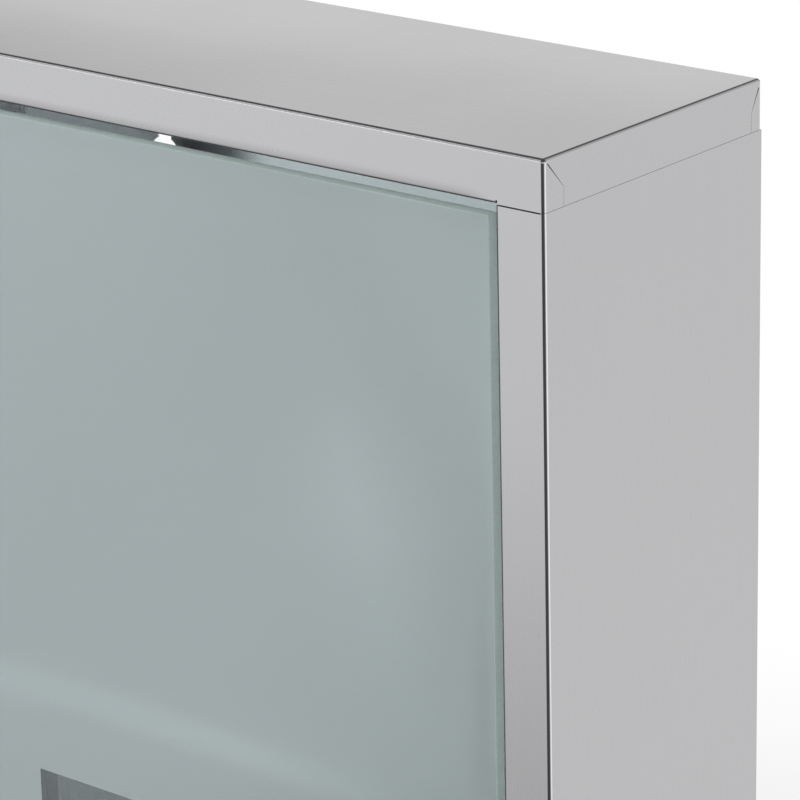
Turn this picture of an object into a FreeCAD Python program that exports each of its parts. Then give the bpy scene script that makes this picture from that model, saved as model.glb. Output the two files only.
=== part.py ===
import FreeCAD, Part
import math
import os
import re
import Sketcher

# Wall-hung medicine cabinet of folded stainless sheet with an inset frosted glass door.
# Millimetres. X runs across the front, +Y points into the wall, +Z is up.
# The origin lies on the back face, midway between the round entries of the two hanging keyholes.

# Driving dimensions, each set once
SIZES = {
    # whole cabinet
    "cabinet_width": 350.0,
    "cabinet_depth": 120.0,
    "cabinet_height": 660.0,
    "hang_drop": 70.0,
    # folded sheet, lid and tray
    "sheet_thick": 0.8,
    "bend_inside": 0.6,
    "rim_height": 17.5,
    "rim_return": 14.0,
    "return_bend": 1.2,
    "return_lap": 0.3,
    "relief_width": 0.7,
    "relief_height": 1.3,
    "seam_gap": 0.12,
    "mitre_drop": 11.0,
    "front_mitre": 10.2,
    "rear_mitre": 6.0,
    "mitre_start": 1.6,
    "mitre_slit": 0.55,
    "mitre_joint": 0.1,
    # folded sides
    "stile_width": 19.5,
    "stile_return": 10.0,
    "stile_gap": 0.5,
    "rear_flange": 8.0,
    "tongue_lap": 5.0,
    # hanging keyholes
    "keyhole_pitch": 190.0,
    "keyhole_radius": 7.5,
    "keyhole_slot": 6.7,
    "keyhole_rise": 14.0,
    # shelves and their rails
    "upper_shelf_drop": 246.0,
    "lower_shelf_drop": 452.0,
    "shelf_setback": 25.0,
    "shelf_lip": 14.0,
    "shelf_hem": 6.0,
    "shelf_play": 0.3,
    "rail_leg": 10.0,
    # glass door and its frosting
    "glass_thick": 5.0,
    "glass_arris": 0.5,
    "side_gap": 2.5,
    "end_gap": 4.2,
    "film_thick": 0.25,
    "film_inset": 1.0,
    "sign_width": 120.0,
    "cross_span": 84.0,
    "cross_arm": 28.0,
    # hinge clamps
    "pivot_inset": 12.0,
    "pivot_depth": 7.0,
    "clamp_width": 24.0,
    "clamp_lead": 6.5,
    "clamp_reach": 22.0,
    "clamp_front": 2.0,
    "clamp_rear": 3.5,
    "clamp_web": 2.0,
    "clamp_round": 0.8,
    "pad_thick": 0.5,
    "pad_inset": 1.0,
    "set_screw_radius": 2.0,
    "set_screw_pitch": 11.0,
    "set_screw_proud": 0.6,
    "set_screw_socket": 1.15,
    "set_screw_socket_depth": 2.0,
    # pivots
    "pin_radius": 2.0,
    "pin_shoulder_radius": 3.5,
    "pin_spigot_radius": 2.5,
    "pin_tail": 1.0,
    "bush_radius": 3.2,
    "bush_collar_radius": 4.6,
    "bush_collar": 1.2,
    "plate_thick": 2.0,
    "plate_width": 28.0,
    # lock
    "lock_inset": 22.0,
    "barrel_radius": 8.5,
    "barrel_flange": 2.5,
    "barrel_flange_radius": 11.0,
    "barrel_round": 0.8,
    "barrel_room": 0.5,
    "washer_thick": 0.5,
    "nut_across": 22.0,
    "nut_thick": 3.5,
    "plug_radius": 6.0,
    "plug_head": 1.0,
    "plug_head_radius": 8.0,
    "keyway_width": 1.8,
    "keyway_height": 8.0,
    "keyway_depth": 10.5,
    "drive_square": 5.0,
    "cam_room": 0.4,
    "cam_thick": 2.0,
    "cam_width": 12.0,
    "cam_catch": 8.0,
    "cam_round": 3.0,
    "cam_screw_radius": 1.5,
    "cam_screw_head": 2.0,
    "cam_screw_head_radius": 4.0,
    "cam_screw_length": 3.5,
    "screw_slot": 0.8,
    "screw_slot_depth": 0.9,
    # key
    "key_thick": 2.2,
    "key_bow_radius": 10.5,
    "key_bow_hole": 3.0,
    "key_neck": 5.0,
    "key_tip_room": 0.5,
    # magnetic catch
    "catch_inset": 45.0,
    "catch_base": 46.0,
    "catch_base_thick": 3.0,
    "catch_main": 30.0,
    "catch_height": 11.0,
    "pole_proud": 0.6,
    "pole_width": 26.0,
    "pole_thick": 1.2,
    "magnet_width": 24.0,
    "magnet_depth": 9.0,
    "magnet_height": 4.0,
    "catch_screw_pitch": 38.0,
    "catch_screw_radius": 1.4,
    "catch_screw_head": 1.6,
    "catch_screw_head_radius": 2.8,
    "catch_screw_tail": 1.0,
    "strike_width": 32.0,
    "strike_height": 12.0,
    "strike_thick": 1.0,
    "strike_round": 2.0,
    "strike_gap": 0.3,
    # clearances and the overrun of cuts
    "running_clear": 0.05,
    "fit_clear": 0.03,
    "hole_clear": 0.5,
    "end_clear": 0.3,
    "overrun": 1.0,
}

# Places worked out from the driving dimensions
PLACES = {
    "half": "cabinet_width / 2",
    "front": "-cabinet_depth",
    "top": "hang_drop",
    "bottom": "hang_drop - cabinet_height",
    "upper_seam": "top - rim_height",
    "lower_seam": "bottom + rim_height",
    "bend_outside": "bend_inside + sheet_thick",
    "inner_half": "half - sheet_thick",
    "upper_shelf_top": "top - upper_shelf_drop",
    "lower_shelf_top": "top - lower_shelf_drop",
    "lip_front": "front + shelf_setback",
    "return_half": "half - stile_width + return_lap",
    "return_back": "front + rim_return",
    "door_left": "-half + stile_width + side_gap",
    "door_right": "half - stile_width - side_gap",
    "door_top": "upper_seam - end_gap",
    "door_low": "lower_seam + end_gap",
    "door_middle": "(door_top + door_low) / 2",
    "glass_back": "front + glass_thick",
    "film_back": "glass_back + film_thick",
    "lock_hole": "barrel_radius + hole_clear",
    "pivot_x": "door_left + pivot_inset",
    "pivot_y": "front + pivot_depth",
    "clamp_left": "pivot_x - clamp_lead",
    "slot_front": "front - pad_thick",
    "slot_back": "film_back + pad_thick",
    "lock_x": "door_right - lock_inset",
    "flange_back": "front - washer_thick",
    "flange_front": "flange_back - barrel_flange",
    "head_back": "flange_front - running_clear",
    "head_front": "head_back - plug_head",
    "barrel_end": "front + stile_return + barrel_room",
    "cam_front": "barrel_end + cam_room",
    "cam_back": "cam_front + cam_thick",
    "drive_end": "cam_back - fit_clear",
    "cam_reach": "lock_inset + side_gap + cam_catch",
    "blade_half": "keyway_height / 2 - running_clear",
    "blade_thick": "keyway_width - 2 * running_clear",
    "bow_middle": "head_front - key_neck - key_bow_radius",
    "catch_x": "door_right - catch_inset",
    "catch_z": "lower_shelf_top - shelf_lip / 2",
    "strike_back": "film_back + strike_thick",
    "pole_front": "strike_back + strike_gap",
    "catch_front": "pole_front + pole_proud",
    "magnet_back": "catch_front + magnet_depth",
    "base_front": "lip_front - catch_base_thick",
    "pole_outside": "magnet_height / 2 + pole_thick",
}

SHEET_NAME = "Sizes"
ALONG_Y = FreeCAD.Rotation(FreeCAD.Vector(1, 0, 0), -90)
UPRIGHT = FreeCAD.Rotation()

doc = FreeCAD.newDocument("medicine_cabinet")
nodes = []


def make_sheet():
    """Spreadsheet with one aliased cell for each driving dimension."""
    sheet = doc.addObject("Spreadsheet::Sheet", SHEET_NAME)
    for row, (name, size) in enumerate(SIZES.items(), start=1):
        sheet.set("A%d" % row, name.replace("_", " "))
        sheet.set("B%d" % row, str(size))
        sheet.setAlias("B%d" % row, name)
    doc.recompute()


def ex(text):
    """Expression in which every named place is written out and every size points at its cell."""
    def spell(match):
        word = match.group(0)
        if word in PLACES:
            return "(" + ex(PLACES[word]) + ")"
        if word in SIZES:
            return SHEET_NAME + "." + word
        return word
    return re.sub(r"[a-z]\w*", spell, text)


def node(thing, name):
    """Name a finished sub-part and keep it for export."""
    thing.Label = name
    nodes.append(thing)
    return thing


def place(thing, x="0", y="0", z="0", turn=UPRIGHT):
    thing.Placement = FreeCAD.Placement(FreeCAD.Vector(), turn)
    for axis, text in (("x", x), ("y", y), ("z", z)):
        thing.setExpression("Placement.Base." + axis, ex(text))
    return thing


# Part primitives

def block(name, x, y, z):
    """Box between two places on each axis."""
    box = doc.addObject("Part::Box", name)
    for side, (low, high) in (("Length", x), ("Width", y), ("Height", z)):
        box.setExpression(side, ex("(%s) - (%s)" % (high, low)))
    return place(box, x[0], y[0], z[0])


def around(middle, width):
    """Span of a width about a middle."""
    return ("%s - (%s) / 2" % (middle, width), "%s + (%s) / 2" % (middle, width))


def rod(name, radius, x, y, z):
    """Cylinder along Y, between the two places in y."""
    cylinder = doc.addObject("Part::Cylinder", name)
    cylinder.setExpression("Radius", ex(radius))
    cylinder.setExpression("Height", ex("(%s) - (%s)" % (y[1], y[0])))
    return place(cylinder, x, y[0], z, ALONG_Y)


def hexagon(name, across, x, y, z):
    """Six-sided prism along Y, given across its flats."""
    prism = doc.addObject("Part::Prism", name)
    prism.Polygon = 6
    prism.setExpression("Circumradius", ex("(%s) / 2 / cos(30 deg)" % across))
    prism.setExpression("Height", ex("(%s) - (%s)" % (y[1], y[0])))
    return place(prism, x, y[0], z, ALONG_Y)


def fuse(name, *pieces):
    joined = doc.addObject("Part::MultiFuse", name)
    joined.Shapes = list(pieces)
    return joined


def cut(name, base, tool):
    rest = doc.addObject("Part::Cut", name)
    rest.Base = base
    rest.Tool = tool
    return rest


def group(name, *pieces):
    """One node of several like solids."""
    together = doc.addObject("Part::Compound", name)
    together.Links = list(pieces)
    return node(together, name)


# Bodies with sketches

def new_body(name):
    return doc.addObject("PartDesign::Body", name)


def origin_part(body, role):
    return next(item for item in body.Origin.OriginFeatures if item.Role == role)


def new_sketch(body, plane, offset):
    """Empty sketch on one of the body's planes, moved along the plane's normal."""
    sketch = body.newObject("Sketcher::SketchObject", body.Name + "_sketch")
    sketch.AttachmentSupport = [(origin_part(body, plane), "")]
    sketch.MapMode = "FlatFace"
    sketch.setExpression("AttachmentOffset.Base.z", ex(offset))
    return sketch


def pin_point(sketch, geometry, point, x, y):
    """Hold one point of a sketch at its place from the sketch's origin."""
    for kind, text in (("DistanceX", x), ("DistanceY", y)):
        held = sketch.addConstraint(Sketcher.Constraint(kind, -1, 1, geometry, point, 1.0))
        sketch.setExpression("Constraints[%d]" % held, ex(text))


def add_loop(sketch, points):
    """Closed outline of straight lines; it starts as a unit polygon and the sizes draw it out."""
    count = len(points)
    first = sketch.GeometryCount
    angles = [2 * math.pi * n / count for n in range(count)]
    start = [FreeCAD.Vector(math.cos(a), math.sin(a), 0) for a in angles]
    for n in range(count):
        sketch.addGeometry(Part.LineSegment(start[n], start[(n + 1) % count]))
    for n in range(count):
        after = first + (n + 1) % count
        sketch.addConstraint(Sketcher.Constraint("Coincident", first + n, 2, after, 1))
    for n, (x, y) in enumerate(points):
        pin_point(sketch, first + n, 1, x, y)


def outline(body, plane, points, offset="0"):
    sketch = new_sketch(body, plane, offset)
    add_loop(sketch, points)
    return sketch


def rectangle(x, y):
    """Corner points of a rectangle between two places on each axis."""
    return [(x[0], y[0]), (x[1], y[0]), (x[1], y[1]), (x[0], y[1])]


def circles(body, plane, centres, radius, offset="0"):
    sketch = new_sketch(body, plane, offset)
    for x, y in centres:
        ring = sketch.addGeometry(Part.Circle())
        pin_point(sketch, ring, 3, x, y)
        size = sketch.addConstraint(Sketcher.Constraint("Radius", ring, 1.0))
        sketch.setExpression("Constraints[%d]" % size, ex(radius))
    return sketch


def pad(body, sketch, length, side="One side"):
    feature = body.newObject("PartDesign::Pad", body.Name + "_pad")
    feature.Profile = sketch
    feature.SideType = side
    feature.setExpression("Length", ex(length))
    doc.recompute()
    return feature


def pocket(body, sketch, length="", backwards=False):
    """Cut along the sketch's normal, right through where no length is given; it has to cut something."""
    before = body.Shape.Volume
    feature = body.newObject("PartDesign::Pocket", body.Name + "_pocket")
    feature.Profile = sketch
    feature.Reversed = backwards
    if length:
        feature.setExpression("Length", ex(length))
    else:
        feature.Type = "ThroughAll"
        feature.SideType = "Symmetric"
    doc.recompute()
    if not body.Shape.Volume < before:
        raise RuntimeError(body.Name + ": a pocket cut nothing")
    return feature


def revolve(body, axis, plane, points):
    feature = body.newObject("PartDesign::Revolution", body.Name + "_turned")
    feature.Profile = outline(body, plane, points)
    feature.ReferenceAxis = (origin_part(body, axis), [""])
    feature.Angle = 360
    doc.recompute()
    return feature


def dress(body, kind, size_name, size, wanted):
    """Fillet or chamfer on the edges of the body that a test picks."""
    doc.recompute()
    base = body.Tip
    edges = base.Shape.Edges
    feature = body.newObject("PartDesign::" + kind, body.Name + "_" + kind.lower())
    feature.Base = (base, ["Edge%d" % (n + 1) for n, edge in enumerate(edges) if wanted(edge)])
    feature.setExpression(size_name, ex(size))
    doc.recompute()
    return feature


def runs_along(edge, axis):
    """True for a straight edge along one axis."""
    if not isinstance(edge.Curve, (Part.Line, Part.LineSegment)):
        return False
    return abs(abs(edge.tangentAt(edge.FirstParameter).dot(axis)) - 1) < EDGE_TOLERANCE


def near(a, b):
    return abs(a - b) < EDGE_TOLERANCE


EDGE_TOLERANCE = 1e-6
X_AXIS = FreeCAD.Vector(1, 0, 0)
Y_AXIS = FreeCAD.Vector(0, 1, 0)
Z_AXIS = FreeCAD.Vector(0, 0, 1)


# Carcass

def rim_cap(name, outer, seam, inward):
    """Folded cap: a flat sheet with a rim all round, closed at the corners by mitred tabs.

    Over the door the front rim turns in again, between two relief notches, and carries the pivot.
    outer is the flat sheet's outer face, seam the rim's edge, and inward points from one to the other.
    """
    body = new_body(name)
    low, high = (seam, outer) if inward < 0 else (outer, seam)
    whole = rectangle(("-half", "half"), ("front", "0"))
    pad(body, outline(body, "XY_Plane", whole, low), "(%s) - (%s)" % (high, low))
    flat_z = body.Shape.BoundBox.ZMax if inward < 0 else body.Shape.BoundBox.ZMin

    def is_bend(edge):
        return runs_along(edge, Z_AXIS) or near(edge.CenterOfMass.z, flat_z)

    dress(body, "Fillet", "Radius", "bend_outside", is_bend)
    hollow = rectangle(("-inner_half", "inner_half"), ("front + sheet_thick", "-sheet_thick"))
    depth = "rim_height - sheet_thick"
    pocket(body, outline(body, "XY_Plane", hollow, seam), depth, backwards=inward < 0)
    for edge_y, leg, into in (("front", "front_mitre", 1), ("0", "rear_mitre", -1)):
        across = "%s + %d * (%s)" % (edge_y, into, leg)
        wide = "%d * mitre_slit" % into
        tight = "%d * mitre_joint" % into
        start = "%s + %d * mitre_start" % (edge_y, into)
        start_z = "%s + %d * mitre_start * mitre_drop / (%s)" % (outer, inward, leg)
        turn_z = "%s + %d * mitre_drop" % (outer, inward)
        end_z = "%s + %d * overrun" % (seam, inward)
        slit = [
            (start, start_z),
            ("%s + %s" % (start, wide), start_z),
            ("%s + %s" % (across, tight), turn_z),
            ("%s + %s" % (across, tight), end_z),
            (across, end_z),
            (across, turn_z),
        ]
        pocket(body, outline(body, "YZ_Plane", slit))
    lip = rectangle(("-return_half", "return_half"), ("front", "return_back"))
    lip_low = seam if inward < 0 else "%s - sheet_thick" % seam
    pad(body, outline(body, "XY_Plane", lip, lip_low), "sheet_thick")
    reliefs = new_sketch(body, "XZ_Plane", "-front + overrun")
    for hand in (-1, 1):
        ends = ("%d * return_half" % hand, "%d * (return_half + relief_width)" % hand)
        tall = ("%s + %d * overrun" % (seam, inward), "%s - %d * relief_height" % (seam, inward))
        add_loop(reliefs, rectangle(ends, tall))
    pocket(body, reliefs, "overrun + sheet_thick")
    box = body.Shape.BoundBox
    seam_z = box.ZMin if inward < 0 else box.ZMax

    def is_return_bend(edge):
        middle = edge.CenterOfMass
        on_face = near(middle.y, box.YMin) and near(middle.z, seam_z)
        return on_face and near(middle.x, 0) and runs_along(edge, X_AXIS)

    dress(body, "Fillet", "Radius", "return_bend", is_return_bend)
    pocket(body, circles(body, "XY_Plane", [("pivot_x", "pivot_y")], "bush_radius + fit_clear", seam),
           "sheet_thick + overrun", backwards=inward < 0)
    return node(body, name)


def folded_side(name, hand):
    """Side wall, front stile with its inner return, and rear flange, folded from one sheet.

    hand is 1 on the right and -1 on the left.
    """
    def across(text):
        return "%d * (%s)" % (hand, text)

    body = new_body(name)
    wall = [
        ("half", "0"),
        ("half", "front"),
        ("half - stile_width", "front"),
        ("half - stile_width", "front + stile_return"),
        ("half - stile_width + sheet_thick", "front + stile_return"),
        ("half - stile_width + sheet_thick", "front + sheet_thick"),
        ("inner_half", "front + sheet_thick"),
        ("inner_half", "-2 * sheet_thick"),
        ("half - rear_flange", "-2 * sheet_thick"),
        ("half - rear_flange", "-sheet_thick"),
        ("inner_half", "-sheet_thick"),
        ("inner_half", "0"),
    ]
    low = "lower_seam + seam_gap"
    high = "upper_seam - seam_gap"
    section = outline(body, "XY_Plane", [(across(x), y) for x, y in wall], low)
    pad(body, section, "(%s) - (%s)" % (high, low))
    front_y = body.Shape.BoundBox.YMin

    def is_front_bend(edge):
        return runs_along(edge, Z_AXIS) and near(edge.CenterOfMass.y, front_y)

    dress(body, "Fillet", "Radius", "bend_outside", is_front_bend)
    stile_x = (across("half - stile_width - overrun"), across("half - bend_outside"))
    for end, into in ((low, 1), (high, -1)):
        step = ("%s - %d * overrun" % (end, into), "%s + %d * (stile_gap - seam_gap)" % (end, into))
        recess = outline(body, "XZ_Plane", rectangle(stile_x, step), "-front + overrun")
        pocket(body, recess, "overrun + stile_return + overrun")
    tongue = [
        ("inner_half", "front + sheet_thick"),
        ("half - stile_width + sheet_thick", "front + sheet_thick"),
        ("half - stile_width + sheet_thick", "front + 2 * sheet_thick"),
        ("inner_half - sheet_thick", "front + 2 * sheet_thick"),
        ("inner_half - sheet_thick", "-2 * sheet_thick"),
        ("inner_half", "-2 * sheet_thick"),
    ]
    tongue_points = [(across(x), y) for x, y in tongue]
    lengths = "rim_height + tongue_lap - sheet_thick - seam_gap"
    for start in ("bottom + sheet_thick + seam_gap", "upper_seam - tongue_lap"):
        pad(body, outline(body, "XY_Plane", tongue_points, start), lengths)
    return node(body, name)


def back_panel():
    """Back sheet with two keyholes: round entry below, slot above."""
    body = new_body("back_panel")
    edge_x = "inner_half - seam_gap"
    sheet = rectangle(("-(%s)" % edge_x, edge_x), ("lower_seam + seam_gap", "upper_seam - seam_gap"))
    pad(body, outline(body, "XZ_Plane", sheet), "sheet_thick")
    middles = ("-keyhole_pitch / 2", "keyhole_pitch / 2")
    pocket(body, circles(body, "XZ_Plane", [(x, "0") for x in middles], "keyhole_radius"))
    slots = new_sketch(body, "XZ_Plane", "0")
    for x in middles:
        add_loop(slots, rectangle(around(x, "keyhole_slot"), ("0", "keyhole_rise")))
    pocket(body, slots)
    pocket(body, circles(body, "XZ_Plane", [(x, "keyhole_rise") for x in middles], "keyhole_slot / 2"))
    return node(body, "back_panel")


def shelf(name, top_face, screw_holes=False):
    """Flat shelf with a front lip turned down and hemmed back."""
    body = new_body(name)
    under = "%s - sheet_thick" % top_face
    lip_low = "%s - shelf_lip" % top_face
    rear = "-sheet_thick - shelf_play"
    section = [
        ("lip_front", top_face),
        (rear, top_face),
        (rear, under),
        ("lip_front + sheet_thick", under),
        ("lip_front + sheet_thick", "%s + sheet_thick" % lip_low),
        ("lip_front + shelf_hem", "%s + sheet_thick" % lip_low),
        ("lip_front + shelf_hem", lip_low),
        ("lip_front", lip_low),
    ]
    # the rear corners stand clear of the sides' rear flanges
    length = "2 * (inner_half - shelf_play)"
    pad(body, outline(body, "YZ_Plane", section), length, "Symmetric")
    front_y = body.Shape.BoundBox.YMin

    def is_lip_bend(edge):
        return runs_along(edge, X_AXIS) and near(edge.CenterOfMass.y, front_y)

    dress(body, "Fillet", "Radius", "bend_outside", is_lip_bend)
    notch_y = ("-2 * sheet_thick - shelf_play", "overrun")
    for hand in (-1, 1):
        inner = "%d * (half - rear_flange - shelf_play)" % hand
        outer = "%d * (half + overrun)" % hand
        corner = rectangle((inner, outer), notch_y)
        pocket(body, outline(body, "XY_Plane", corner))
    if screw_holes:
        places = [(x, "catch_z") for x in around("catch_x", "catch_screw_pitch")]
        holes = circles(body, "XZ_Plane", places, "catch_screw_radius + fit_clear", "-lip_front + overrun")
        pocket(body, holes, "sheet_thick + 2 * overrun")
    return node(body, name)


def shelf_rails(name, top_face):
    """Pair of angle rails on the side walls, under a shelf."""
    under = "%s - sheet_thick" % top_face
    along = ("lip_front + shelf_hem + shelf_play", "-2 * sheet_thick - shelf_play")
    rails = []
    for hand, side in ((-1, "left"), (1, "right")):
        outer = "inner_half"
        spans = [("%s - rail_leg" % outer, outer), ("%s - sheet_thick" % outer, outer)]
        if hand < 0:
            spans = [("-(%s)" % high, "-(%s)" % low) for low, high in spans]
        ledge = block(name + side + "_ledge", spans[0], along, ("%s - sheet_thick" % under, under))
        leg = block(name + side + "_leg", spans[1], along, ("%s - rail_leg" % under, under))
        rails.append(fuse(name + side, ledge, leg))
    return group(name, *rails)


# Door

def door_glass():
    body = new_body("door_glass")
    sheet = rectangle(("door_left", "door_right"), ("door_low", "door_top"))
    pad(body, outline(body, "XZ_Plane", sheet, "-glass_back"), "glass_thick")
    box = body.Shape.BoundBox

    def is_rim(edge):
        return near(edge.CenterOfMass.y, box.YMin) or near(edge.CenterOfMass.y, box.YMax)

    dress(body, "Chamfer", "Size", "glass_arris", is_rim)
    pocket(body, circles(body, "XZ_Plane", [("lock_x", "door_middle")], "lock_hole"))
    return node(body, "door_glass")


def frosted_film():
    """Frosting on the back of the glass, open at the clear field and at the lock."""
    body = new_body("frosted_film")
    edges = (("door_left + film_inset", "door_right - film_inset"),
             ("door_low + film_inset", "door_top - film_inset"))
    pad(body, outline(body, "XZ_Plane", rectangle(*edges), "-film_back"), "film_thick")
    field = rectangle(around("0", "sign_width"), around("door_middle", "sign_width"))
    pocket(body, outline(body, "XZ_Plane", field))
    pocket(body, circles(body, "XZ_Plane", [("lock_x", "door_middle")], "lock_hole"))
    return node(body, "frosted_film")


def cross_film():
    """Plain cross of the same frosting in the middle of the clear field."""
    body = new_body("cross_film")
    arm_x = around("0", "cross_arm")
    arm_z = around("door_middle", "cross_arm")
    span_x = around("0", "cross_span")
    span_z = around("door_middle", "cross_span")
    cross = [
        (arm_x[0], span_z[0]), (arm_x[1], span_z[0]), (arm_x[1], arm_z[0]), (span_x[1], arm_z[0]),
        (span_x[1], arm_z[1]), (arm_x[1], arm_z[1]), (arm_x[1], span_z[1]), (arm_x[0], span_z[1]),
        (arm_x[0], arm_z[1]), (span_x[0], arm_z[1]), (span_x[0], arm_z[0]), (arm_x[0], arm_z[0]),
    ]
    pad(body, outline(body, "XZ_Plane", cross, "-film_back"), "film_thick")
    return node(body, "cross_film")


# Hinges

def hinge(level, edge, seam, out):
    """Clamp on a corner of the glass, its pin, and the bush and plate in the rim that carry it.

    edge is the glass's edge, seam the rim's edge, and out points from one to the other: 1 up, -1 down.
    """
    def beyond(start, distance):
        return "%s + %d * (%s)" % (start, out, distance)

    reach_end = beyond(edge, "-clamp_reach")
    web_face = beyond(edge, "clamp_web")
    plate_face = beyond(seam, "sheet_thick")
    plate_back = beyond(seam, "sheet_thick + plate_thick")
    collar_face = beyond(seam, "-bush_collar")
    screw_x = "clamp_left + clamp_width / 2"
    screw_z = around(beyond(edge, "-clamp_reach / 2"), "set_screw_pitch")

    clamp = new_body(level + "_hinge_clamp")
    channel = [
        ("slot_front - clamp_front", reach_end),
        ("slot_front - clamp_front", web_face),
        ("slot_back + clamp_rear", web_face),
        ("slot_back + clamp_rear", reach_end),
        ("slot_back", reach_end),
        ("slot_back", edge),
        ("slot_front", edge),
        ("slot_front", reach_end),
    ]
    pad(clamp, outline(clamp, "YZ_Plane", channel, "clamp_left"), "clamp_width")
    face_y = clamp.Shape.BoundBox.YMin
    dress(clamp, "Fillet", "Radius", "clamp_round", lambda edge: near(edge.CenterOfMass.y, face_y))
    screws_at = circles(clamp, "XZ_Plane", [(screw_x, z) for z in screw_z],
                        "set_screw_radius + fit_clear", "-film_back")
    pocket(clamp, screws_at, "pad_thick + clamp_rear + overrun")
    pin_at = circles(clamp, "XY_Plane", [("pivot_x", "pivot_y")], "pin_spigot_radius + fit_clear", edge)
    pocket(clamp, pin_at, "clamp_web + overrun", backwards=out > 0)
    node(clamp, level + "_hinge_clamp")

    pad_x = ("clamp_left + pad_inset", "clamp_left + clamp_width - pad_inset")
    pad_z = sorted_span(reach_end, beyond(edge, "-pad_inset"), out)
    group(level + "_clamp_pads",
          block(level + "_front_pad", pad_x, ("slot_front", "front"), pad_z),
          block(level + "_rear_pad", pad_x, ("film_back", "slot_back"), pad_z))

    screws = []
    for number, z in enumerate(screw_z):
        name = "%s_set_screw_%d" % (level, number)
        end = "slot_back + clamp_rear + set_screw_proud"
        shank = rod(name + "_shank", "set_screw_radius", screw_x, ("slot_back", end), z)
        socket_y = ("%s - set_screw_socket_depth" % end, "%s + overrun" % end)
        socket = hexagon(name + "_socket", "2 * set_screw_socket", screw_x, socket_y, z)
        screws.append(cut(name, shank, socket))
    group(level + "_clamp_screws", *screws)

    pin = new_body(level + "_pivot_pin")
    revolve(pin, "Z_Axis", "XZ_Plane", [
        ("0", beyond(edge, "end_clear")),
        ("pin_spigot_radius", beyond(edge, "end_clear")),
        ("pin_spigot_radius", web_face),
        ("pin_shoulder_radius", web_face),
        ("pin_shoulder_radius", beyond(collar_face, "-running_clear")),
        ("pin_radius", beyond(collar_face, "-running_clear")),
        ("pin_radius", beyond(plate_back, "pin_tail")),
        ("0", beyond(plate_back, "pin_tail")),
    ])
    node(place(pin, "pivot_x", "pivot_y"), level + "_pivot_pin")

    bush = new_body(level + "_pivot_bush")
    bore = "pin_radius + running_clear"
    revolve(bush, "Z_Axis", "XZ_Plane", [
        (bore, collar_face),
        ("bush_collar_radius", collar_face),
        ("bush_collar_radius", seam),
        ("bush_radius", seam),
        ("bush_radius", plate_back),
        (bore, plate_back),
    ])
    node(place(bush, "pivot_x", "pivot_y"), level + "_pivot_bush")

    plate = new_body(level + "_pivot_plate")
    flat = rectangle(around("pivot_x", "plate_width"), ("front + 2 * sheet_thick", "return_back"))
    plate_low = sorted_span(plate_face, plate_back, out)[0]
    pad(plate, outline(plate, "XY_Plane", flat, plate_low), "plate_thick")
    pocket(plate, circles(plate, "XY_Plane", [("pivot_x", "pivot_y")], "bush_radius + fit_clear"))
    node(plate, level + "_pivot_plate")


def sorted_span(inner, outer, out):
    """The two ends of a span, lower one first."""
    return (inner, outer) if out > 0 else (outer, inner)


# Lock and key

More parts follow.
